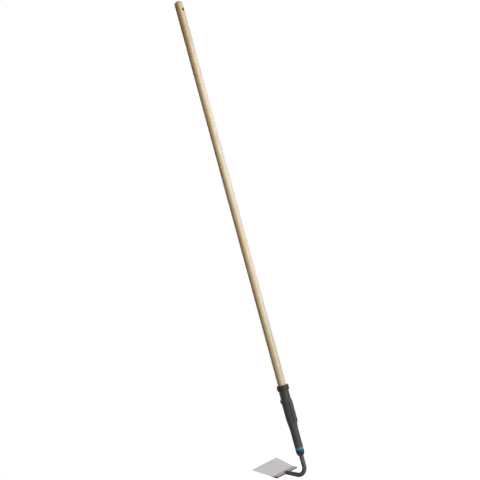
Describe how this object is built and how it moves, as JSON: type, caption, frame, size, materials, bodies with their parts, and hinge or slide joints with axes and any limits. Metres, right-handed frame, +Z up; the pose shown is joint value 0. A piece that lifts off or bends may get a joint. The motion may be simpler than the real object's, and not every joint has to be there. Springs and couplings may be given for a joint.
{
  "type": "garden hoe",
  "caption": "Long-handled draw hoe: an ash shaft in a moulded fluted socket with a coloured ring, a bent steel gooseneck and a wide ground blade.",
  "frame": {"origin": "centre of the hanging hole, on the handle's axis", "axes": "+Z up along the handle, +Y the way the blade points and also along the hanging hole, +X across the blade"},
  "size_m": [0.139, 0.1879, 1.6455],
  "materials": {
    "ash": "sanded and oiled ash",
    "moulded_nylon": "glass-filled nylon, fine moulded texture",
    "soft_collar": "matte thermoplastic rubber",
    "ring_nylon": "smooth coloured nylon",
    "nose_nylon": "moulded nylon",
    "coated_steel": "dark powder coat",
    "ground_steel": "satin ground",
    "weld_metal": "coated weld bead",
    "zinc_steel": "zinc plated"
  },
  "bodies": {
    "root": {"handle_shaft": "ash", "socket_sleeve": "moulded_nylon", "socket_collar": "soft_collar", "accent_ring": "ring_nylon", "nose_cap": "nose_nylon", "gooseneck": "coated_steel", "hoe_blade": "ground_steel", "upper_weld": "weld_metal", "lower_weld": "weld_metal", "handle_screw": "zinc_steel"}
  },
  "joints": []
}
